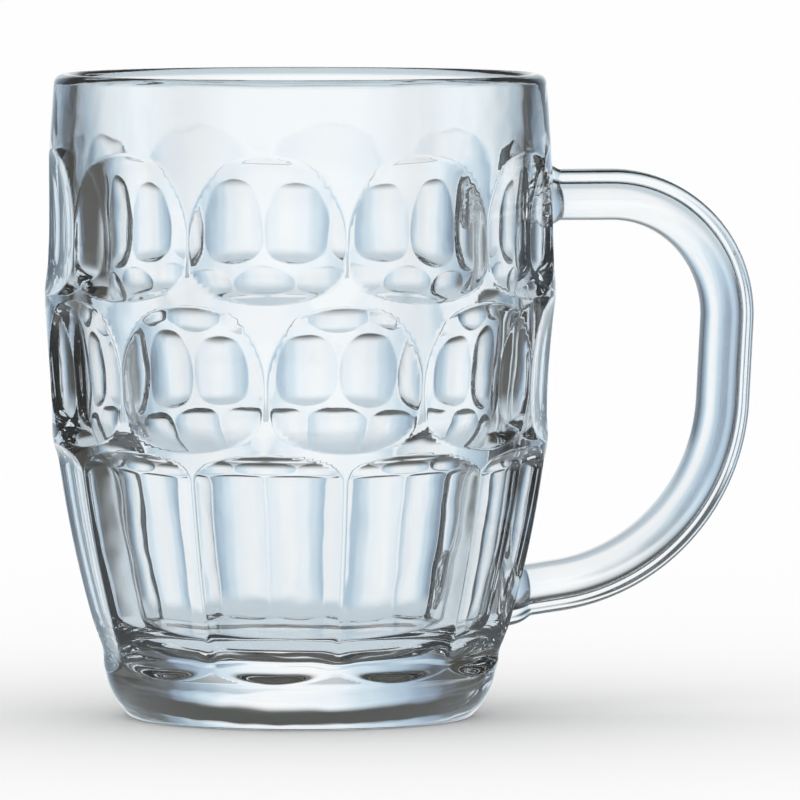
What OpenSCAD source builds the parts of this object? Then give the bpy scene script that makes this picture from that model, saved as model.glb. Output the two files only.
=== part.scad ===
// Dimpled glass beer mug: a thick pressed bowl with two rows of dimples over a row of flutes,
// and a pressed glass handle fused on while hot.
// Millimetres. Z is the axis of the bowl, the table is z = 0 and the handle points along +X.

/* [Bowl] */
// Height from the table to the top of the rim
body_h = 124; // [116:1:132]
// Outside radius at the widest place
belly_r = 49.25; // [47.5:0.25:52]
// Height of the widest place
belly_z = 79.4; // [72:0.2:86]
// How much the radius narrows from there to the rim
rim_in = 1.95; // [1:0.05:2.8]
// Thickness of the wall at the widest place
wall = 5.85; // [4.8:0.05:8]
// How much the radius narrows from the widest place down to the heel
heel_in = 11.55; // [9:0.05:14]
// Height of the turn from barrel to heel
heel_z = 8.9; // [6:0.1:11]
// Radius of the rounded heel below it
heel_round = 15; // [10:0.5:30]
// How much the radius narrows from the heel to the ring that stands on the table
foot_in = 4.9; // [3.5:0.1:6.5]
// Width of that ring, around the hollow underside
ring_w = 4.3; // [2:0.1:12]
// Depth of the hollow underside at its middle
underside_h = 2; // [0.5:0.1:4]
// Height of the bowl's floor at its middle
floor_z = 12.8; // [10:0.1:18]
// Radius of the floor's shallow dish
floor_dish_r = 150; // [100:5:300]
// Radius of the corner between floor and wall
floor_round = 8; // [4:0.1:11]

/* [Pattern] */
// Dimples around each row
around = 10; // [9:1:12]
// Width of the ridge left between two neighbours
land_w = 0.5; // [0.3:0.05:1.2]
// Sideways radius of each dimple's concave face
hollow_r = 200; // [160:1:260]
// Up-and-down radius of a dimple's face
crown_r = 65; // [58:1:75]
// Angle by which an upper dimple's face leans in, so that it is deeper low down
upper_lean = 3; // [0:0.5:4]
// The same for a lower dimple
lower_lean = 1.5; // [0:0.5:3]
// Radius of the rolled-up ends of a dimple
shoulder_r = 11; // [8:0.1:13]
// Height of a dimple
dimple_h = 27.8; // [25:0.1:30]
// Gap between one row and the next
row_gap = 0.4; // [0.2:0.1:1.2]
// Height of the arched tops of the flutes
flute_top_z = 53.1; // [48:0.1:56]
// Radius of the rolled-up top of a flute
flute_shoulder_r = 7; // [5:0.1:9]
// Height of the ledge where the flutes end, on the ridges
flute_end_z = 11; // [10:0.1:15]
// Slope of that ledge in degrees
flute_end_slope = 60; // [30:1:62]

/* [Handle] */
// Thickness of the handle in its own plane
handle_t = 10; // [9:0.1:11.5]
// Width of the handle across its plane, at its middle and before its grooves
handle_w = 12.75; // [10:0.05:15]
// Share by which the handle is narrower at its outer edge and wider at its inner edge
handle_taper = 0.115; // [0:0.005:0.3]
// Squareness of the handle's corners, from 2 for an oval upwards
handle_square = 2.5; // [2:0.1:4]
// Depth of the groove along each side, which leaves a bead on the outer edge
groove_d = 2.3; // [0.5:0.05:2.6]
// Distance from the middle of a groove to its steepest place
groove_w = 1.2; // [0.8:0.05:2]
// Distance of the grooves outwards from the handle's middle line
groove_out = 2.3; // [0:0.1:3]
// Height of the upper arm's middle line
handle_z = 100.3; // [94:0.1:104]
// Distance from the widest place of the bowl to the middle line of the grip
handle_out = 35.05; // [32:0.05:42]
// Radius of the upper bend on its middle line
upper_bend_r = 23.4; // [18:0.1:27]
// Straight length of the grip
grip_l = 15.6; // [8:0.1:20]
// Angle by which the grip leans in towards its lower end
grip_lean = 3; // [0:0.5:6]
// Radius of the lower bend on its middle line
lower_bend_r = 37.9; // [33:0.1:41]
// Angle at which the lower arm still falls where it meets the bowl
arm_fall = 8; // [2:0.5:12]
// How far the flared feet reach out from the barrel
flare_l = 2; // [1:0.1:4]
// How much a foot grows on each side for each millimetre towards the bowl
flare_rate = 0.65; // [0.2:0.05:0.8]
// How much a foot grows on each side in all
flare_most = 1.3; // [0.5:0.1:3]

/* [Hidden] */
$fn = 180;
glass = "#c9dbe2";
pitch = 360 / around;

// Radius of the arc that bulges by drop over a run, upright at its far end
function bulge_r(drop, run) = (run * run + drop * drop) / (2 * drop);

// Where two circles meet: side 1 is to the left of the line from c1 to c2, side -1 to the right
function meet(c1, r1, c2, r2, side) =
    let (apart = norm(c2 - c1))
    let (along = (apart * apart + r1 * r1 - r2 * r2) / (2 * apart))
    let (off = sqrt(r1 * r1 - along * along))
    let (u = (c2 - c1) / apart)
    c1 + along * u + side * off * [-u.y, u.x];

// Centre of the circle through three points
function centre_through(p, q, s) =
    let (a = q - p, b = s - p)
    p + [b.y * (a * a) - a.y * (b * b), a.x * (b * b) - b.x * (a * a)] / (2 * (a.x * b.y - a.y * b.x));

function toward(p, q) = (q - p) / norm(q - p);

// Radii of the bowl, each set in from the belly
rim_r = belly_r - rim_in;
bore_r = belly_r - wall;
heel_r = belly_r - heel_in;
foot_r = heel_r - foot_in;
ring_r = foot_r - ring_w;

// The barrel: two arcs that meet upright at the belly
upper_arc_r = bulge_r(belly_r - rim_r, body_h - belly_z);
lower_arc_r = bulge_r(belly_r - heel_r, belly_z - heel_z);
function arc_r(z) = z >= belly_z ? upper_arc_r : lower_arc_r;
function arc_centre(z) = [belly_r - arc_r(z), belly_z];
function barrel_r(z) = arc_centre(z).x + sqrt(arc_r(z) * arc_r(z) - (z - belly_z) * (z - belly_z));

// The rim's bead: a circle that touches the bore, the upper arc and the top
bead_run = bore_r - arc_centre(body_h).x;
bead_rise = body_h - belly_z;
bead_half = bead_run - bead_rise + upper_arc_r;
bead_rest = bead_run * bead_run + bead_rise * bead_rise - upper_arc_r * upper_arc_r;
bead_r = sqrt(bead_half * bead_half - bead_rest) - bead_half;
bead_centre = [bore_r + bead_r, body_h - bead_r];
bead_square = bead_centre + 2 * bead_r * toward(arc_centre(body_h), bead_centre);

// The heel: an arc from the foot ring up to the barrel
foot_point = [foot_r, 0];
heel_point = [heel_r, heel_z];
heel_centre = meet(foot_point, heel_round, heel_point, heel_round, 1);
heel_out = heel_round * toward(heel_centre, (foot_point + heel_point) / 2);

// The inside: a straight bore, an arc that keeps the wall's thickness, a rounded corner and a dished floor
bowl_arc_r = lower_arc_r - wall;
dish = [0, floor_z + floor_dish_r];
corner = meet(dish, floor_dish_r - floor_round, arc_centre(0), bowl_arc_r - floor_round, 1);
wall_reach = 2 * floor_round * toward(arc_centre(0), corner);
floor_reach = 2 * floor_round * toward(dish, corner);
underside_r = bulge_r(underside_h, ring_r);

// The pattern: each dimple is the print of a roller whose axis stands outside the bowl
function edge_angle(r) = pitch / 2 - asin(land_w / 2 / r);
function roller_axis(r) = r * cos(edge_angle(r)) + sqrt(pow(hollow_r, 2) - pow(r * sin(edge_angle(r)), 2));
// Each print runs past its own edge by a spare that is less than half the gap to its neighbour
side_spare = land_w / 3;
row_spare = row_gap / 4;
function roller_half(r) = asin((r * sin(edge_angle(r)) + side_spare) / hollow_r);
lower_row_z = flute_top_z + row_gap + dimple_h / 2;
upper_row_z = lower_row_z + dimple_h + row_gap;

// The flutes' floor: the radius that keeps the ridges' width at each height
flute_axis = roller_axis(barrel_r((flute_top_z + flute_end_z) / 2));
function flute_edge(z) = barrel_r(z) * [cos(edge_angle(barrel_r(z))), sin(edge_angle(barrel_r(z)))];
function flute_floor(z) = [flute_axis - norm([flute_axis, 0] - flute_edge(z)), z];
flute_centre = centre_through(
    flute_floor(flute_end_z),
    flute_floor((flute_top_z + flute_end_z) / 2),
    flute_floor(flute_top_z));
flute_arc_r = norm(flute_floor(flute_end_z) - flute_centre);

// The handle's middle line, as points in the XZ plane and headings clockwise from straight up
upper_bend = [belly_r + handle_out - upper_bend_r, handle_z];
grip_heading = 180 + grip_lean;
arm_heading = 270 - arm_fall;
function ahead(at, heading, length) = at + length * [sin(heading), cos(heading)];
function bend_centre(at, heading, radius) = at + radius * [cos(heading), -sin(heading)];
function past_bend(at, heading, radius, turn) =
    bend_centre(at, heading, radius) - radius * [cos(heading + turn), -sin(heading + turn)];
grip_top = past_bend(upper_bend, 90, upper_bend_r, grip_heading - 90);
grip_low = ahead(grip_top, grip_heading, grip_l);
arm = past_bend(grip_low, grip_heading, lower_bend_r, arm_heading - grip_heading);
// The feet run on into the bowl by its wall's thickness, and the outside of the bowl then trims them
foot_l = flare_l + wall;
upper_foot = [barrel_r(handle_z) + flare_l, handle_z];
lower_foot_x = barrel_r(arm.y) + flare_l;
lower_foot = [lower_foot_x, arm.y - (arm.x - lower_foot_x) * tan(arm_fall)];

// The handle's section, grown by a margin: one side from the outer to the inner edge, the other side back
side_steps = 24;
section_n = 2 * side_steps;
function section_point(turn) =
    let (share = sign(cos(turn)) * pow(abs(cos(turn)), 2 / handle_square))
    let (plain_w = handle_w / 2 * pow(sin(turn), 2 / handle_square) * (1 - handle_taper * share))
    let (away = (share * handle_t / 2 - groove_out) / groove_w)
    [share * handle_t / 2, plain_w - groove_d * exp(-away * away / 2) * min(1, plain_w / groove_d)];
section_side = [for (i = [0 : side_steps - 1]) section_point(90 * (1 - cos(180 * (i + 0.5) / side_steps)))];
function section(grow) =
    let (stretch = [1 + 2 * grow / handle_t, 1 + 2 * grow / handle_w])
    [
        for (p = section_side)
            [p.x * stretch.x, p.y * stretch.y],
        for (i = [side_steps - 1 : -1 : 0])
            [section_side[i].x * stretch.x, -section_side[i].y * stretch.y]];

// Stations along the handle: a point on the middle line, its heading and the growth of the section
foot_steps = 4;
bend_steps = 14;
function foot_part(i) = foot_l * i / foot_steps;
function flare(run) = min(flare_most, flare_rate * run);
function bend_part(i, from, to) = (to - from) * i / bend_steps;
stations = [
    for (i = [foot_steps : -1 : 0])
        [ahead(upper_foot, 270, foot_part(i)), 90, flare(foot_part(i))],
    for (i = [0 : bend_steps])
        let (turn = bend_part(i, 90, grip_heading))
        [past_bend(upper_bend, 90, upper_bend_r, turn), 90 + turn, 0],
    for (i = [0 : bend_steps])
        let (turn = bend_part(i, grip_heading, arm_heading))
        [past_bend(grip_low, grip_heading, lower_bend_r, turn), grip_heading + turn, 0],
    for (i = [0 : foot_steps])
        [ahead(lower_foot, arm_heading, foot_part(i)), arm_heading, flare(foot_part(i))]];

module disc(centre, radius) {
    translate(centre)
        circle(radius);
}

// Outline of the glass as if the bowl were full, up to the middle of the rim's bead
module full_outline() {
    intersection() {
        disc(arc_centre(body_h), upper_arc_r);
        polygon([[0, belly_z], [2 * belly_r, belly_z], bead_square, bead_centre, [0, bead_centre.y]]);
    }
    intersection() {
        disc(arc_centre(0), lower_arc_r);
        translate([0, heel_z])
            square([2 * belly_r, belly_z - heel_z]);
    }
    polygon([[0, 0], foot_point, heel_point, [0, heel_z]]);
    intersection() {
        disc(heel_centre, heel_round);
        polygon([foot_point, foot_point + heel_out, heel_point + heel_out, heel_point]);
    }
}

module bowl_outline() {
    translate([0, belly_z])
        square([bore_r, body_h - belly_z]);
    intersection() {
        disc(arc_centre(0), bowl_arc_r);
        polygon([[0, corner.y], corner, corner + wall_reach, [2 * belly_r, belly_z], [0, belly_z]]);
    }
    intersection() {
        disc(corner, floor_round);
        polygon([corner, corner + floor_reach, corner + floor_reach + wall_reach, corner + wall_reach]);
    }
    intersection() {
        disc(dish, floor_dish_r);
        polygon([[0, corner.y], corner, corner + floor_reach, [0, corner.y + floor_reach.y]]);
    }
}

module rim_bead_outline() {
    intersection() {
        disc(bead_centre, bead_r);
        polygon([
            bead_centre,
            bead_square,
            bead_centre + 2 * bead_r * [1, 1],
            bead_centre + 2 * bead_r * [-1, 1],
            bead_centre - [2 * bead_r, 0]]);
    }
}

module wall_outline() {
    difference() {
        full_outline();
        bowl_outline();
        disc([0, underside_h - underside_r], underside_r);
    }
    rim_bead_outline();
}

// A round end of a roller: the part of a disc between its inward tangent and straight up or down
module rolled_end(centre, radius, inward, up) {
    intersection() {
        disc(centre, radius);
        polygon([
            centre,
            centre + 2 * radius * inward,
            centre + 2 * radius * [-1, up],
            centre + 2 * radius * [0, up]]);
    }
}

// Half section of the roller that prints a dimple at height z, drawn as radius and height of the mug
module dimple_section(z, lean) {
    tilt = asin((z - belly_z) / arc_r(z)) - lean;
    crown = [roller_axis(barrel_r(z)) - hollow_r, z];
    centre = crown + crown_r * [cos(tilt), sin(tilt)];
    top_z = z + dimple_h / 2;
    low_z = z - dimple_h / 2;
    top = meet(centre, crown_r - shoulder_r, [barrel_r(top_z), top_z], shoulder_r, 1);
    low = meet(centre, crown_r - shoulder_r, [barrel_r(low_z), low_z], shoulder_r, -1);
    intersection() {
        union() {
            intersection() {
                disc(centre, crown_r);
                polygon([
                    top,
                    top + crown_r * toward(centre, top),
                    low + crown_r * toward(centre, low),
                    low]);
            }
            rolled_end(top, shoulder_r, toward(centre, top), 1);
            rolled_end(low, shoulder_r, toward(centre, low), -1);
        }
        translate([0, low_z - row_spare])
            square([2 * belly_r, dimple_h + 2 * row_spare]);
    }
}

// Half section of the roller that prints a flute: a floor along the barrel, a rolled top and a sloped ledge
module flute_section() {
    top = meet(
        flute_centre,
        flute_arc_r + flute_shoulder_r,
        [barrel_r(flute_top_z), flute_top_z],
        flute_shoulder_r,
        -1);
    inward = toward(top, flute_centre);
    function ledge(r) = [r, flute_end_z + (barrel_r(flute_end_z) - r) * tan(flute_end_slope)];
    intersection() {
        union() {
            difference() {
                polygon([
                    top,
                    top + 2 * flute_shoulder_r * inward,
                    ledge(bore_r / 2),
                    ledge(top.x)]);
                disc(flute_centre, flute_arc_r);
            }
            rolled_end(top, flute_shoulder_r, inward, 1);
        }
        square([2 * belly_r, flute_top_z + row_spare]);
    }
}

// One pass of a roller with its axis upright at axis_r from the mug's own
module roller(axis_r, half, turn) {
    rotate([0, 0, turn])
        translate([axis_r, 0, 0])
            rotate([0, 0, 180 - half])
                rotate_extrude(angle = 2 * half)
                    translate([axis_r, 0])
                        mirror([1, 0])
                            children();
}

module dimple(z, lean, turn) {
    roller(roller_axis(barrel_r(z)), roller_half(barrel_r(z)), turn)
        dimple_section(z, lean);
}

module flute(turn) {
    roller(flute_axis, roller_half(barrel_r(flute_top_z)), turn)
        flute_section();
}

module mug_body() {
    color(glass)
        difference() {
            rotate_extrude()
                wall_outline();
            for (i = [0 : around - 1])
                dimple(upper_row_z, upper_lean, i * pitch);
            for (i = [0 : around - 1])
                dimple(lower_row_z, lower_lean, (i + 0.5) * pitch);
            for (i = [0 : around - 1])
                flute(i * pitch);
        }
}

// The handle's bar, swept through its stations
module swept_bar() {
    last = section_n * (len(stations) - 1);
    points = [
        for (station = stations, p = section(station[2]))
            let (at = station[0], heading = station[1])
            [at.x - p.x * cos(heading), -p.y, at.y + p.x * sin(heading)]];
    sides = [
        for (ring = [0 : section_n : last - section_n], i = [0 : section_n - 1])
            let (next = (i + 1) % section_n)
            each [
                [ring + i, ring + section_n + i, ring + section_n + next],
                [ring + i, ring + section_n + next, ring + next]]];
    start_cap = [for (i = [0 : section_n - 1]) i];
    end_cap = [for (i = [section_n - 1 : -1 : 0]) last + i];
    polyhedron(points, concat([start_cap], sides, [end_cap]));
}

module handle() {
    color(glass)
        difference() {
            swept_bar();
            difference() {
                rotate_extrude()
                    full_outline();
                dimple(upper_row_z, upper_lean, 0);
                flute(0);
            }
        }
}

mug_body();
handle();
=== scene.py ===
from math import asin, atan2, cos, degrees, pi, radians, sin, sqrt, tan

import bpy
import numpy as np
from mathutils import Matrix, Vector


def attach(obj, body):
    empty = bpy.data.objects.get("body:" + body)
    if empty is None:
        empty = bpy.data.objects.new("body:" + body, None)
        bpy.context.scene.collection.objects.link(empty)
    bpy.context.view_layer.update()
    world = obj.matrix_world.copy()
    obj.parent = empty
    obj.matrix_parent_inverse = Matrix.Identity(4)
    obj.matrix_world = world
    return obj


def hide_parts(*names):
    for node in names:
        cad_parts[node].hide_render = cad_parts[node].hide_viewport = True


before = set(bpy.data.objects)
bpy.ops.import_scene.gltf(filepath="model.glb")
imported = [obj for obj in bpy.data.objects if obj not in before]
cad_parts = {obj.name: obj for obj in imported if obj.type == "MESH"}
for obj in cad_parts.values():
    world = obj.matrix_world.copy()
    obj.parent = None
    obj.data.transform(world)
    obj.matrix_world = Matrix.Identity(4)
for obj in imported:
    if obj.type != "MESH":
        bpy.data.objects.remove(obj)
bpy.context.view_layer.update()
bpy.ops.object.select_all(action="DESELECT")

# Bowl
# One piece of clear soda-lime glass, pressed in a mould that leaves two rows of dimples over
# a row of flutes, then fire polished, which rounds every edge. All sizes are in millimetres.
MM = 0.001
body_h = 124
belly_r, belly_z = 49.25, 79.4
rim_r, bore_r = 47.3, 43.4
heel_r, heel_z, heel_round = 37.7, 8.9, 15
foot_r, ring_r, foot_edge_r = 32.8, 28.5, 0.7
underside_h = 2
floor_z, floor_dish_r, floor_round = 12.8, 150, 8


def bulge_r(drop, run):
    """Radius of the arc that bulges by drop over a run, upright at its far end."""
    return (run * run + drop * drop) / (2 * drop)


def meet(c1, r1, c2, r2, side):
    """Where two circles meet, to the left (1) or right (-1) of the line from c1 to c2."""
    c1, c2 = np.array(c1, float), np.array(c2, float)
    apart = np.linalg.norm(c2 - c1)
    along = (apart**2 + r1**2 - r2**2) / (2 * apart)
    u = (c2 - c1) / apart
    return c1 + along * u + side * sqrt(r1**2 - along**2) * np.array((-u[1], u[0]))


def arc_points(centre, radius, start, end, steps):
    """Points on an arc between two angles in degrees, from the radius axis towards up."""
    angles = np.radians(np.linspace(start, end, steps + 1))
    return [(centre[0] + radius * cos(a), centre[1] + radius * sin(a)) for a in angles]


upper_arc_r = bulge_r(belly_r - rim_r, body_h - belly_z)
lower_arc_r = bulge_r(belly_r - heel_r, belly_z - heel_z)


def barrel_r(z):
    """Outside radius of the plain barrel: two arcs that meet upright at the belly."""
    radius = np.where(np.asarray(z) >= belly_z, upper_arc_r, lower_arc_r)
    return belly_r - radius + np.sqrt(radius**2 - (z - belly_z) ** 2)


# The rim's bead touches the bore, the barrel and the top
bead_run = bore_r - (belly_r - upper_arc_r)
bead_rise = body_h - belly_z
bead_half = bead_run - bead_rise + upper_arc_r
bead_r = sqrt(bead_half**2 - (bead_run**2 + bead_rise**2 - upper_arc_r**2)) - bead_half
bead = (bore_r + bead_r, body_h - bead_r)
bead_start = degrees(asin((bead[1] - belly_z) / (upper_arc_r - bead_r)))

# The heel runs from the foot ring up to the barrel, and the inside keeps the wall's thickness
# down to the floor's rounded corner
heel = meet((foot_r, 0), heel_round, (heel_r, heel_z), heel_round, 1)
heel_start = degrees(atan2(-heel[1], foot_r - heel[0]))
heel_end = degrees(atan2(heel_z - heel[1], heel_r - heel[0]))
wall = belly_r - bore_r
bowl_arc_r = lower_arc_r - wall
bowl_arc = (belly_r - lower_arc_r, belly_z)
dish = (0, floor_z + floor_dish_r)
corner = meet(dish, floor_dish_r - floor_round, bowl_arc, bowl_arc_r - floor_round, 1)
corner_turn = degrees(atan2(corner[1] - bowl_arc[1], corner[0] - bowl_arc[0]))
dish_turn = degrees(atan2(corner[1] - dish[1], corner[0]))
underside_r = bulge_r(underside_h, ring_r)
underside_turn = degrees(asin(ring_r / underside_r))

# The mesh has closer rows where prints end: each pair is the height of a first row
# and the spacing from there
outer_rows = (
    (heel_z + 0.3, 0.3), (18.0, 0.8), (50.0, 0.35), (56.5, 0.65),
    (78.5, 0.3), (84.5, 0.65), (106.0, 0.4), (112.0, 1.0))
row_ends = [*(start for start, _ in outer_rows[1:]), bead[1] - 0.6]
outer_z = np.concatenate([np.arange(start, end, gap) for (start, gap), end in zip(outer_rows, row_ends)])

# Outline of the glass, from the middle of the underside round to the middle of the floor
underside_steps, heel_steps, bead_steps, bore_points = 10, 10, 14, 9
wall_steps, corner_steps, dish_steps = 22, 8, 14
outline = [
    *arc_points((0, underside_h - underside_r), underside_r, 90, 90 - underside_turn, underside_steps),
    *arc_points(heel, heel_round, heel_start, heel_end, heel_steps),
    *zip(barrel_r(outer_z), outer_z),
    *arc_points(bead, bead_r, bead_start, 180, bead_steps),
    *((bore_r, z) for z in np.linspace(bead[1], belly_z, bore_points)[1:-1]),
    *arc_points(bowl_arc, bowl_arc_r, 0, corner_turn, wall_steps),
    *arc_points(corner, floor_round, corner_turn, dish_turn, corner_steps)[1:],
    *arc_points(dish, floor_dish_r, dish_turn, -90, dish_steps)[1:]]
segments = 320
wire = bpy.data.meshes.new("mug_body")
wire.from_pydata(
    [(r * MM, 0, z * MM) for r, z in outline],
    [(i, i + 1) for i in range(len(outline) - 1)], [])
mug_body = bpy.data.objects.new("mug_body_glass", wire)
bpy.context.collection.objects.link(mug_body)
bpy.context.view_layer.objects.active = mug_body
bpy.ops.object.mode_set(mode="EDIT")
bpy.ops.mesh.select_mode(type="VERT")
# The two edges of the foot ring are rounded before the outline is turned
bpy.ops.mesh.select_all(action="DESELECT")
bpy.ops.object.mode_set(mode="OBJECT")
for vertex in wire.vertices:
    vertex.select = vertex.co.z < 1e-6
bpy.ops.object.mode_set(mode="EDIT")
bpy.ops.mesh.bevel(offset=foot_edge_r * MM, segments=4, affect="VERTICES")
bpy.ops.object.mode_set(mode="OBJECT")
bpy.ops.object.modifier_add(type="SCREW")
turning = mug_body.modifiers[-1]
turning.axis, turning.angle = "Z", 2 * pi
turning.steps = turning.render_steps = segments
turning.use_merge_vertices, turning.merge_threshold = True, 1e-6
bpy.ops.object.modifier_apply(modifier=turning.name)
bpy.ops.object.mode_set(mode="EDIT")
bpy.ops.mesh.select_all(action="SELECT")
bpy.ops.mesh.remove_doubles(threshold=1e-6)
bpy.ops.mesh.normals_make_consistent(inside=False)
bpy.ops.object.mode_set(mode="OBJECT")

# The pattern: each dimple is the print of a roller whose upright axis stands outside the bowl
around = 10
land_w = 0.5
hollow_r = 200
crown_r = 65
upper_lean, lower_lean = -3, -1.5
shoulder_r = 11
dimple_h = 27.8
row_gap = 0.4
flute_top_z, flute_shoulder_r = 53.1, 7
flute_end_z, flute_end_slope = 9.2, 65
fire_polish, end_polish = 0.2, 1.4
# Heights between which the softer polish of the flutes' ends comes in and goes out again
end_z = (heel_z, heel_z + 3, heel_z + 4, heel_z + 9)
pitch = 2 * pi / around
lower_row_z = flute_top_z + row_gap + dimple_h / 2
upper_row_z = lower_row_z + dimple_h + row_gap
NOWHERE = 1e3


def edge_point(z):
    """Where a print's edge lies on the plain barrel, along and across the line through its middle."""
    r = float(barrel_r(z))
    angle = pitch / 2 - asin(land_w / 2 / r)
    return np.array((r * cos(angle), r * sin(angle)))


def roller_axis(z):
    """Distance from the bowl's axis to the roller's for a print at that height."""
    edge = edge_point(z)
    return edge[0] + sqrt(hollow_r**2 - edge[1] ** 2)


def circle_in(z, centre, radius):
    """Radius of the near side of a circle at each height, out of reach past its ends."""
    square = radius**2 - (z - centre[1]) ** 2
    return np.where(square > 0, centre[0] - np.sqrt(np.maximum(square, 0)), NOWHERE)


def dimple_tread(z, row_z):
    """Radius of a dimple's middle line at each height: a crown between two rolled-up ends."""
    arc_r = upper_arc_r if row_z >= belly_z else lower_arc_r
    tilt = asin((row_z - belly_z) / arc_r) + radians(upper_lean if row_z >= belly_z else lower_lean)
    low, high = row_z - dimple_h / 2, row_z + dimple_h / 2
    crown = np.array((roller_axis(row_z) - hollow_r, row_z)) + crown_r * np.array((cos(tilt), sin(tilt)))
    top = meet(crown, crown_r - shoulder_r, (float(barrel_r(high)), high), shoulder_r, 1)
    base = meet(crown, crown_r - shoulder_r, (float(barrel_r(low)), low), shoulder_r, -1)
    top_z = top[1] + shoulder_r * (top - crown)[1] / np.linalg.norm(top - crown)
    base_z = base[1] + shoulder_r * (base - crown)[1] / np.linalg.norm(base - crown)
    tread = circle_in(z, crown, crown_r)
    tread = np.where(z > top_z, circle_in(z, top, shoulder_r), tread)
    return np.where(z < base_z, circle_in(z, base, shoulder_r), tread)


def soften(a, b, size):
    """The smaller of two radii, with the edge between them rounded as by fire polishing."""
    h = np.maximum(size - np.abs(a - b), 0) / size
    return np.minimum(a, b) - h * h * size / 4


flute_mid_z = (flute_top_z + flute_end_z) / 2
flute_axis = roller_axis(flute_mid_z)


def flute_tread(z):
    """Radius of a flute's middle line: a floor along the barrel, a rolled-up top and a sloped ledge."""
    marks = np.array((flute_end_z, flute_mid_z, flute_top_z))
    floors = [flute_axis - np.linalg.norm(np.array((flute_axis, 0)) - edge_point(m)) for m in marks]
    p, q, s = (np.array(x) for x in zip(floors, marks))
    a, b = q - p, s - p
    centre = p + np.array((b[1] * (a @ a) - a[1] * (b @ b), a[0] * (b @ b) - b[0] * (a @ a))) / (
        2 * (a[0] * b[1] - a[1] * b[0]))
    floor_r = np.linalg.norm(p - centre)
    edge = (float(barrel_r(flute_top_z)), flute_top_z)
    top = meet(centre, floor_r + flute_shoulder_r, edge, flute_shoulder_r, -1)
    top_z = top[1] + flute_shoulder_r * (centre - top)[1] / np.linalg.norm(centre - top)
    floor = centre[0] + np.sqrt(floor_r**2 - (z - centre[1]) ** 2)
    ledge = float(barrel_r(flute_end_z)) - (z - flute_end_z) / tan(radians(flute_end_slope))
    floor = -soften(-floor, -ledge, end_polish)
    return np.where(z > top_z, circle_in(z, top, flute_shoulder_r), floor)


def print_r(tread, axis_r, turn):
    """Radius of a roller's print at an angle from its middle."""
    square = (axis_r - tread) ** 2 - (axis_r * np.sin(turn)) ** 2
    there = (square > 0) & (tread < axis_r)
    return np.where(there, axis_r * np.cos(turn) - np.sqrt(np.maximum(square, 0)), NOWHERE)


def pressed_r(turn, z):
    """Outside radius of the patterned bowl at each angle and height."""
    flute_polish = np.interp(z, end_z, (fire_polish, end_polish, end_polish, fire_polish))
    rows = (
        (dimple_tread(z, upper_row_z), roller_axis(upper_row_z), 0, fire_polish),
        (dimple_tread(z, lower_row_z), roller_axis(lower_row_z), pitch / 2, fire_polish),
        (flute_tread(z), flute_axis, 0, flute_polish))
    r = barrel_r(z)
    for tread, axis_r, phase, polish in rows:
        near = (turn - phase + pitch / 2) % pitch - pitch / 2
        beyond = near - np.where(near > 0, pitch, -pitch)
        for t in (near, beyond):
            r = soften(r, print_r(tread, axis_r, t), polish)
    return r


# The turned mesh is drawn closer at the ridges, then its outside is pressed in
ridge_crowding = 0.65
touch = 0.01
place = np.empty(len(wire.vertices) * 3)
wire.vertices.foreach_get("co", place)
place = place.reshape(-1, 3) / MM
r, turn, z = np.hypot(place[:, 0], place[:, 1]), np.arctan2(place[:, 1], place[:, 0]), place[:, 2]
turn = turn - ridge_crowding * np.sin(2 * around * turn) / (2 * around)
on_barrel = np.abs(r - barrel_r(np.clip(z, heel_z, body_h))) < touch
outside = on_barrel & (z > heel_z + 0.1) & (z < bead[1] - 0.3)
r[outside] = pressed_r(turn[outside], z[outside])
place[:, 0], place[:, 1] = r * np.cos(turn), r * np.sin(turn)
wire.vertices.foreach_set("co", (place * MM).ravel())
wire.update()
bpy.ops.object.select_all(action="DESELECT")
mug_body.select_set(True)
bpy.ops.object.shade_smooth()

# Light bends by the true slope of the surface, so the shading takes it from the curves,
# and from the faces only where the outline has no curve
slope = np.empty(place.size, np.float32)
wire.vertex_normals.foreach_get("vector", slope)
slope = slope.reshape(-1, 3).astype(float)
step = 0.01
side_step = step / r.clip(1)
around_slope = (pressed_r(turn + side_step, z) - pressed_r(turn - side_step, z)) / (2 * step)
up_slope = (pressed_r(turn, z + step) - pressed_r(turn, z - step)) / (2 * step)
radial = np.stack((np.cos(turn), np.sin(turn), np.zeros_like(r)), axis=1)
tangent = np.stack((-np.sin(turn), np.cos(turn), np.zeros_like(r)), axis=1)
exact = radial - around_slope[:, None] * tangent - up_slope[:, None] * np.array((0, 0, 1))
slope[outside] = exact[outside]
for centre, arc_r, side in (
        ((0, underside_h - underside_r), underside_r, -1), (heel, heel_round, 1), (bead, bead_r, 1),
        (bowl_arc, bowl_arc_r, -1), (corner, floor_round, -1), (dish, floor_dish_r, -1)):
    away_r, away_z = r - centre[0], z - centre[1]
    on_arc = ~outside & (np.abs(np.hypot(away_r, away_z) - arc_r) < 0.001)
    slope[on_arc] = side * (away_r[on_arc, None] * radial[on_arc] + np.outer(away_z[on_arc], (0, 0, 1)))
slope /= np.linalg.norm(slope, axis=1, keepdims=True)
wire.normals_split_custom_set_from_vertices(slope)


def linear(hex_colour):
    """An sRGB hex colour as linear RGBA."""
    parts = [int(hex_colour[i:i + 2], 16) / 255 for i in (1, 3, 5)]
    return (*((c / 12.92 if c <= 0.04045 else ((c + 0.055) / 1.055) ** 2.4) for c in parts), 1)


def add_node(tree, kind, settings=None, **inputs):
    """Adds a node, sets its properties and its input sockets, and links the sockets given as outputs."""
    node = tree.nodes.new(kind)
    for name, value in (settings or {}).items():
        setattr(node, name, value)
    for name, value in inputs.items():
        socket = node.inputs[int(name[1:]) if name[1:].isdigit() else name.replace("_", " ")]
        if isinstance(value, bpy.types.NodeSocket):
            tree.links.new(value, socket)
        else:
            socket.default_value = value
    return node


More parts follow.
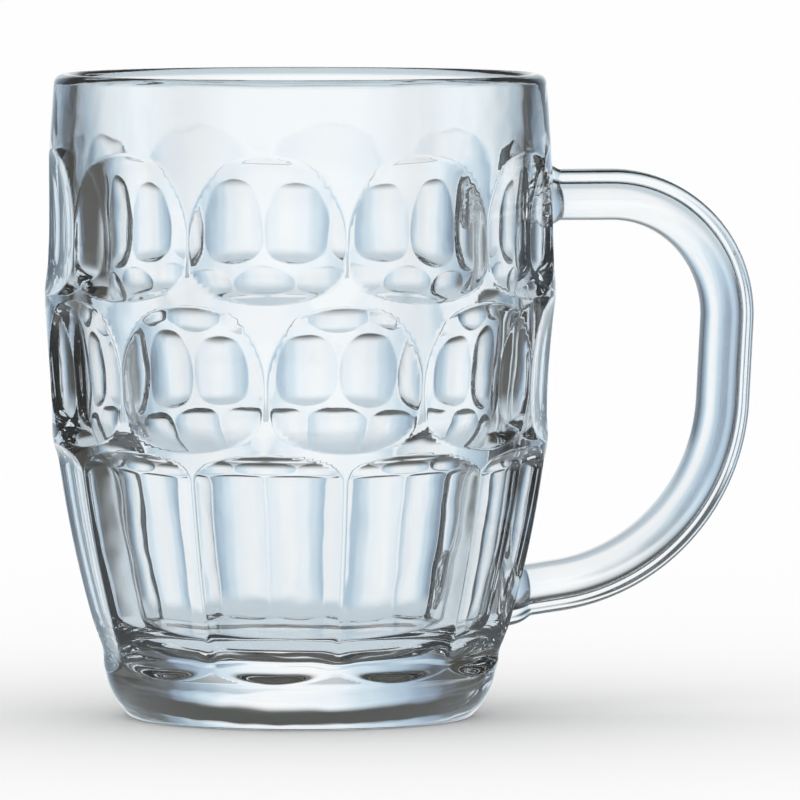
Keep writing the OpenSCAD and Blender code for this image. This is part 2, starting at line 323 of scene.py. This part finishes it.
# Soda-lime glass, pressed in an iron mould and fire polished: clear with a breath of blue, and glossy.
# The mould leaves slow waves that the fire softens, which bend the lines behind them,
# and washing leaves a faint bloom.
wave_mm, wave_depth_mm = 9, 0.16
bloom_mm, bloom_most, bloom_from, bloom_full = 22, 0.02, 0.5, 0.8
glass = bpy.data.materials.new("pressed_soda_lime_glass")
glass.use_nodes = True
tree = glass.node_tree
shader = tree.nodes["Principled BSDF"]
place_on_mug = add_node(tree, "ShaderNodeTexCoord").outputs["Object"]
waves = add_node(
    tree, "ShaderNodeTexNoise",
    Vector=place_on_mug, Scale=1 / (wave_mm * MM), Detail=1.0, Roughness=0.35).outputs[0]
wavy = add_node(tree, "ShaderNodeBump", Height=waves, Distance=wave_depth_mm * MM, Strength=1.0).outputs[0]
tree.links.new(wavy, shader.inputs["Normal"])
bloom = add_node(
    tree, "ShaderNodeTexNoise",
    Vector=place_on_mug, Scale=1 / (bloom_mm * MM), Detail=3.0, Roughness=0.6).outputs[0]
bloom = add_node(
    tree, "ShaderNodeMapRange",
    Value=bloom, From_Min=bloom_from, From_Max=bloom_full, To_Min=0.0, To_Max=bloom_most).outputs[0]
tree.links.new(bloom, shader.inputs["Roughness"])
shader.inputs["Base Color"].default_value = linear("#fcfeff")
shader.inputs["IOR"].default_value = 1.52
shader.inputs["Transmission Weight"].default_value = 0.982

# Where the handle is fused on, the two pieces are one glass, so light crosses the seam without a sign of it
weld = bpy.data.materials.new("fused_glass_seam")
weld.use_nodes = True
shader = weld.node_tree.nodes["Principled BSDF"]
shader.inputs["Base Color"].default_value = (1, 1, 1, 1)
shader.inputs["Roughness"].default_value = 0
shader.inputs["IOR"].default_value = 1.0
shader.inputs["Transmission Weight"].default_value = 1
mug_body.data.materials.append(glass)
mug_body.data.materials.append(weld)
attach(mug_body, "root")
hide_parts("mug_body")

# Handle
# A second gob of the same glass, pressed to an oval bar with a groove along each side, bent to a loop
# and fused to the hot bowl, where its ends spread into two flared feet.
handle_t, handle_w, handle_taper, handle_square = 10, 12.75, 0.115, 2.5
groove_d, groove_w, groove_out = 2.3, 1.2, 2.3
handle_z, handle_reach = 100.3, 84.3
upper_bend_r, grip_l, grip_lean = 23.4, 15.6, 3
lower_bend_r, arm_fall = 37.9, 8
flare_l, flare_rate, flare_onset, flare_most = 2.0, 0.65, 0.3, 1.3
grip_turn, arm_turn = 90 + grip_lean, 90 - grip_lean - arm_fall


def in_plane(across, up):
    """A point or a step in the plane of the handle, in metres."""
    return Vector((across * MM, 0, up * MM))


lean, fall = radians(grip_lean), radians(arm_fall)
upper_foot = (float(barrel_r(handle_z)) + flare_l, handle_z)
upper_centre = (handle_reach - upper_bend_r, handle_z - upper_bend_r)
grip_low = (
    upper_centre[0] + upper_bend_r * cos(lean) - grip_l * sin(lean),
    upper_centre[1] - upper_bend_r * sin(lean) - grip_l * cos(lean))
lower_centre = (grip_low[0] - lower_bend_r * cos(lean), grip_low[1] + lower_bend_r * sin(lean))
arm = (lower_centre[0] + lower_bend_r * sin(fall), lower_centre[1] - lower_bend_r * cos(fall))
lower_foot_x = float(barrel_r(arm[1])) + flare_l
lower_foot = (lower_foot_x, arm[1] - (arm[0] - lower_foot_x) * tan(fall))
foot_l = flare_l + wall

# The bar's section, drawn at the upper foot and swept to the lower one: a bar that narrows outwards,
# with a groove along each side that leaves a bead on its outer edge
side_points, edge_gap = 64, 0.05
section_turn = pi / 2 * (1 - np.cos(np.linspace(edge_gap, pi - edge_gap, side_points)))
section_out = np.sign(np.cos(section_turn)) * np.abs(np.cos(section_turn)) ** (2 / handle_square)
section_w = handle_w / 2 * np.sin(section_turn) ** (2 / handle_square) * (1 - handle_taper * section_out)
section_out *= handle_t / 2
groove = groove_d * np.exp(-(((section_out - groove_out) / groove_w) ** 2) / 2)
section_w -= groove * np.minimum(1, section_w / groove_d)
ring = [*zip(section_out, section_w), *zip(section_out[::-1], -section_w[::-1])]
bar = bpy.data.meshes.new("handle_glass")
bar.from_pydata(
    [(upper_foot[0] * MM, across * MM, (handle_z + out) * MM) for out, across in ring],
    [(i, (i + 1) % len(ring)) for i in range(len(ring))], [])
handle = bpy.data.objects.new("handle_glass", bar)
bpy.context.collection.objects.link(handle)
bpy.ops.object.select_all(action="DESELECT")
handle.select_set(True)
bpy.context.view_layer.objects.active = handle
bpy.ops.object.mode_set(mode="EDIT")
bpy.ops.mesh.select_all(action="SELECT")


def draw_out(start, end):
    """Extrudes the selected end of the bar along a straight line."""
    step = in_plane(end[0] - start[0], end[1] - start[1])
    bpy.ops.mesh.extrude_region_move(TRANSFORM_OT_translate={"value": step})


upper_steps, lower_steps = 48, 56
draw_out(upper_foot, (upper_centre[0], handle_z))
bpy.ops.mesh.spin(
    steps=upper_steps, angle=radians(grip_turn), center=in_plane(*upper_centre), axis=(0, -1, 0))
draw_out((0, 0), (-grip_l * sin(lean), -grip_l * cos(lean)))
bpy.ops.mesh.spin(
    steps=lower_steps, angle=radians(arm_turn), center=in_plane(*lower_centre), axis=(0, -1, 0))
draw_out(arm, lower_foot)


def add_foot(start, along, steps):
    """Extrudes a straight foot from the selected end, and closes it with rings that shrink to a point."""
    for _ in range(steps):
        draw_out((0, 0), (along[0] * foot_l / steps, along[1] * foot_l / steps))
    end = in_plane(start[0] + along[0] * foot_l, start[1] + along[1] * foot_l)
    for share in (5 / 6, 4 / 5, 3 / 4, 2 / 3, 1 / 2):
        draw_out((0, 0), (0, 0))
        bpy.ops.transform.resize(value=(share, share, share), center_override=end)
    bpy.ops.mesh.edge_face_add()
    bpy.ops.mesh.poke()


foot_steps = 14
upper_along, lower_along = (-1, 0), (-cos(fall), -sin(fall))
add_foot(lower_foot, lower_along, foot_steps)
bpy.ops.mesh.select_all(action="DESELECT")
bpy.ops.object.mode_set(mode="OBJECT")
for vertex in handle.data.vertices:
    vertex.select = abs(vertex.co.x - upper_foot[0] * MM) < 1e-7 and vertex.co.z > belly_z * MM
bpy.ops.object.mode_set(mode="EDIT")
add_foot(upper_foot, upper_along, foot_steps)
bpy.ops.mesh.select_all(action="SELECT")
bpy.ops.mesh.normals_make_consistent(inside=False)
bpy.ops.object.mode_set(mode="OBJECT")


def flare(run):
    """How far a foot has spread on each side: hardly at its start, then evenly, then no more."""
    eased = np.sqrt(run * run + flare_onset**2) - flare_onset
    return flare_most * np.tanh(flare_rate * eased / flare_most)


def spread_foot(points, start, along):
    """Stretches a foot until its end lies on the pressed bowl, and spreads it on the way."""
    along = np.array((along[0], 0, along[1]))
    across = np.array((-along[2], 0, along[0]))
    away = points - np.array((start[0], 0, start[1]))
    run = away @ along
    foot = (run > 1e-4) & (np.abs(away @ across) < handle_t)
    share, p, q = run[foot] / foot_l, away[foot] @ across, away[foot][:, 1]

    def placed(s):
        grow = flare(s)
        return (
            np.array((start[0], 0, start[1])) + s[:, None] * along
            + (p * (1 + 2 * grow / handle_t))[:, None] * across
            + np.outer(q * (1 + 2 * grow / handle_w), (0, 1, 0)))

    low, high = np.zeros(foot.sum()), np.full(foot.sum(), 2 * foot_l)
    for _ in range(40):
        length = (low + high) / 2
        end = placed(length)
        r = np.hypot(end[:, 0], end[:, 1])
        sunk = r < pressed_r(np.arctan2(end[:, 1], end[:, 0]), end[:, 2])
        low, high = np.where(sunk, low, length), np.where(sunk, length, high)
    points[foot] = placed(share * length)


place = np.empty(len(handle.data.vertices) * 3)
handle.data.vertices.foreach_get("co", place)
place = place.reshape(-1, 3) / MM
spread_foot(place, upper_foot, upper_along)
spread_foot(place, lower_foot, lower_along)
handle.data.vertices.foreach_set("co", (place * MM).ravel())
handle.data.update()
bpy.ops.object.shade_smooth()
handle.data.materials.append(glass)
handle.data.materials.append(weld)
bowl_r = pressed_r(np.arctan2(place[:, 1], place[:, 0]), place[:, 2])
seated = np.abs(np.hypot(place[:, 0], place[:, 1]) - bowl_r) < touch
for face in handle.data.polygons:
    if all(seated[v] for v in face.vertices):
        face.material_index = 1


def under_foot(points, start, along, outward):
    """Which points of the bowl lie inside the outline of a spread foot."""
    along = np.array((along[0], 0, along[1]))
    across = np.array((-along[2], 0, along[0]))
    away = points - np.array((start[0], 0, start[1]))
    s = away @ along
    grow = flare(s)
    out = outward * (away @ across) / (1 + 2 * grow / handle_t)
    half_w = np.interp(out, section_out[::-1], section_w[::-1], left=0, right=0)
    return (np.abs(away[:, 1]) / (1 + 2 * grow / handle_w) < half_w) & (s > 0) & (s < 2 * foot_l)


centres = np.empty(len(mug_body.data.polygons) * 3)
mug_body.data.polygons.foreach_get("center", centres)
centres = centres.reshape(-1, 3) / MM
plain_r = barrel_r(np.clip(centres[:, 2], heel_z, body_h))
outer_face = np.hypot(centres[:, 0], centres[:, 1]) > plain_r - wall / 2
joined = outer_face & (
    under_foot(centres, upper_foot, upper_along, -1) | under_foot(centres, lower_foot, lower_along, 1))
mug_body.data.polygons.foreach_set("material_index", joined.astype(np.int32))
mug_body.data.update()
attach(handle, "root")
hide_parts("handle")

# Table and studio
# A plain white table under an even white dome. Behind the mug hangs a lit backdrop that falls off to dark
# sides, the way clear glass is lit so that its edges draw themselves dark; only the glass sees that.
table_r = 9.0
bpy.ops.mesh.primitive_circle_add(vertices=96, radius=table_r, fill_type="NGON")
table = bpy.context.object
table.name = "table"
table.visible_transmission = table.visible_glossy = False
paint = bpy.data.materials.new("matt_white_table")
paint.use_nodes = True
shader = paint.node_tree.nodes["Principled BSDF"]
shader.inputs["Base Color"].default_value = linear("#fefefe")
shader.inputs["Roughness"].default_value = 1
shader.inputs["Specular IOR Level"].default_value = 0
table.data.materials.append(paint)

# The backdrop's colours by the angle in degrees to either side of the camera's line, then the dark above it
# and the pale below it, each with the angles between which it comes in
camera_turn = radians(-10.3)
above_colour, above_from, above_to = "#45443f", 8, 24
below_colour, below_from, below_to = "#ccd7de", -9, -22
backdrop_ramp = (
    (0, "#ffffff"), (9, "#f6fbff"), (15, "#d6e6f0"), (21, "#b3c9da"), (27, "#8fa2b6"), (33, "#5c636b"),
    (43, "#45433d"), (64, "#45433d"), (78, "#dfe9ef"), (102, "#dfe9ef"), (114, "#6b7075"), (126, "#6b7075"),
    (138, "#b6c9d6"), (150, "#f8fcff"))
studio = bpy.data.worlds.new("studio")
bpy.context.scene.world = studio
studio.use_nodes = True
tree = studio.node_tree
sky = add_node(tree, "ShaderNodeTexCoord").outputs["Generated"]
turned = add_node(
    tree, "ShaderNodeVectorRotate", {"rotation_type": "Z_AXIS"},
    Vector=sky, Angle=-camera_turn).outputs["Vector"]
axes = add_node(tree, "ShaderNodeSeparateXYZ", Vector=turned).outputs
sideways = add_node(tree, "ShaderNodeMath", {"operation": "ARCTAN2"}, _0=axes["X"], _1=axes["Y"]).outputs[0]
sideways = add_node(tree, "ShaderNodeMath", {"operation": "ABSOLUTE"}, _0=sideways).outputs[0]
upward = add_node(tree, "ShaderNodeMath", {"operation": "ARCSINE"}, _0=axes["Z"]).outputs[0]
sideways = add_node(tree, "ShaderNodeMath", {"operation": "DIVIDE"}, _0=sideways, _1=pi).outputs[0]
backdrop = add_node(tree, "ShaderNodeValToRGB", Fac=sideways)
ramp = backdrop.color_ramp
ramp.interpolation = "EASE"
first, *between, last = backdrop_ramp
for element, (angle, colour) in zip(ramp.elements, (first, last)):
    element.position, element.color = angle / 180, linear(colour)
for angle, colour in between:
    ramp.elements.new(angle / 180).color = linear(colour)
above = add_node(
    tree, "ShaderNodeMapRange", {"interpolation_type": "SMOOTHSTEP"},
    Value=upward, From_Min=radians(above_from), From_Max=radians(above_to)).outputs[0]
below = add_node(
    tree, "ShaderNodeMapRange", {"interpolation_type": "SMOOTHSTEP"},
    Value=upward, From_Min=radians(below_from), From_Max=radians(below_to)).outputs[0]
colour = add_node(
    tree, "ShaderNodeMix", {"data_type": "RGBA"},
    _0=above, _6=backdrop.outputs["Color"], _7=linear(above_colour)).outputs[2]
colour = add_node(
    tree, "ShaderNodeMix", {"data_type": "RGBA"}, _0=below, _6=colour, _7=linear(below_colour)).outputs[2]
path = add_node(tree, "ShaderNodeLightPath").outputs
by_glass = add_node(
    tree, "ShaderNodeMath", {"operation": "MAXIMUM"},
    _0=path["Is Glossy Ray"], _1=path["Is Transmission Ray"]).outputs[0]
colour = add_node(
    tree, "ShaderNodeMix", {"data_type": "RGBA"}, _0=by_glass, _6=(1, 1, 1, 1), _7=colour).outputs[2]
tree.links.new(colour, tree.nodes["Background"].inputs["Color"])

# Camera
# A long lens two metres away and a little over the rim, as in the photograph
camera_away, camera_z, lens_mm = 2000, 180, 467.5
aim_right, aim_z = 19.2, 61
aim = Vector((aim_right * cos(camera_turn), aim_right * sin(camera_turn), aim_z)) * MM
spot = Vector((camera_away * sin(camera_turn), -camera_away * cos(camera_turn), camera_z)) * MM
bpy.ops.object.camera_add(location=spot, rotation=(aim - spot).to_track_quat("-Z", "Y").to_euler())
camera = bpy.context.object
camera.data.lens = lens_mm
bpy.context.scene.camera = camera

scene = bpy.context.scene
scene.view_settings.view_transform = "Standard"
scene.cycles.max_bounces = 12
scene.cycles.transmission_bounces = 12
scene.cycles.glossy_bounces = 4
